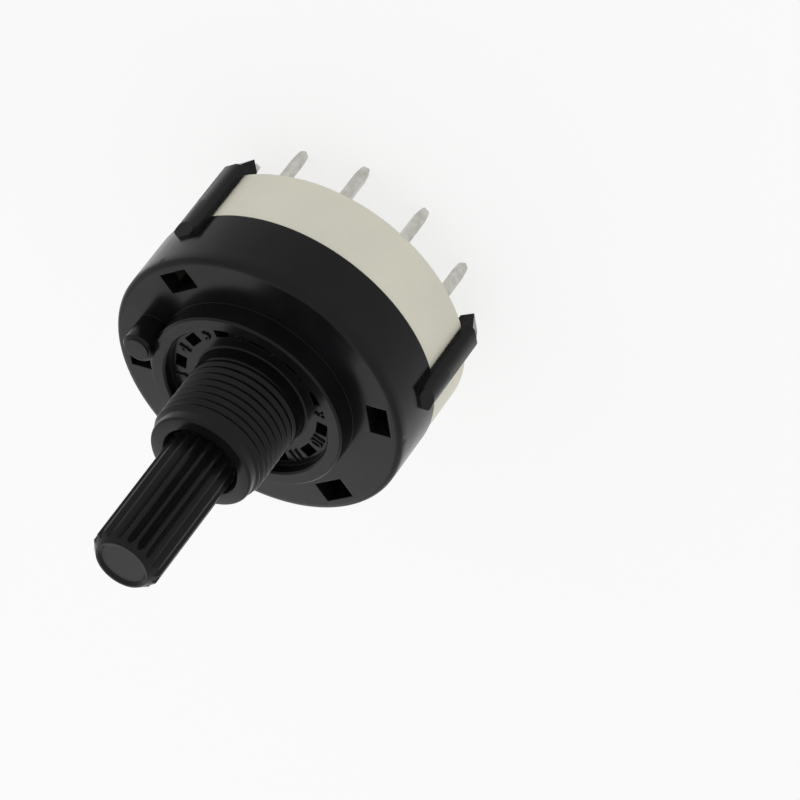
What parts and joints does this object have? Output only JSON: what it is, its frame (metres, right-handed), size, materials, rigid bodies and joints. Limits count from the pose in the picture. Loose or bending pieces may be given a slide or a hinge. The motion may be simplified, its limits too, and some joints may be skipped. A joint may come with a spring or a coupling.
{
  "type": "rotary selector switch",
  "caption": "Panel-mount rotary selector switch: round black housing with threaded bushing, splined shaft, clipped cream terminal plate and a ring of blade terminals.",
  "frame": {"origin": "where the shaft's axis crosses the mounting plane, the top of the raised ring round the bushing", "axes": "+Z along the shaft towards its end; +X lies 9 degrees clockwise of the locating post, seen from the shaft end"},
  "size_m": [0.0264, 0.0274, 0.0378],
  "materials": {
    "black_plastic": "satin moulded nylon",
    "cream_plastic": "matte moulded thermoset",
    "tinned_brass": "bright tin plating",
    "spring_steel": "drawn spring wire",
    "bearing_steel": "polished ball",
    "contact_bronze": "stamped spring bronze"
  },
  "bodies": {
    "root": {"housing": "black_plastic", "terminal_plate": "cream_plastic", "terminal_01": "tinned_brass", "terminal_02": "tinned_brass", "terminal_03": "tinned_brass", "terminal_04": "tinned_brass", "terminal_05": "tinned_brass", "terminal_06": "tinned_brass", "terminal_07": "tinned_brass", "terminal_08": "tinned_brass", "terminal_09": "tinned_brass", "terminal_10": "tinned_brass", "terminal_11": "tinned_brass", "terminal_12": "tinned_brass", "common_terminal": "tinned_brass"},
    "rotor": {"shaft": "black_plastic", "detent_spring": "spring_steel", "contact_bridge": "contact_bronze", "contact_spring": "spring_steel"},
    "ball_1": {"detent_ball_1": "bearing_steel"},
    "ball_2": {"detent_ball_2": "bearing_steel"}
  },
  "joints": [
    {"name": "shaft_turn", "type": "hinge", "parent": "root", "child": "rotor", "pos_m": [0, 0, 0], "axis": [0, 0, -1], "range_deg": [0, 330]},
    {"name": "ball_1_travel", "type": "slide", "parent": "rotor", "child": "ball_1", "axis": [1, 0, 0], "range_m": [0, 0.0004], "stiffness_N_per_m": 500, "springref_m": 0.0012, "deforming": ["detent_spring"]},
    {"name": "ball_2_travel", "type": "slide", "parent": "rotor", "child": "ball_2", "axis": [-1, 0, 0], "range_m": [0, 0.0004], "stiffness_N_per_m": 500, "springref_m": 0.0012, "deforming": ["detent_spring"]}
  ]
}
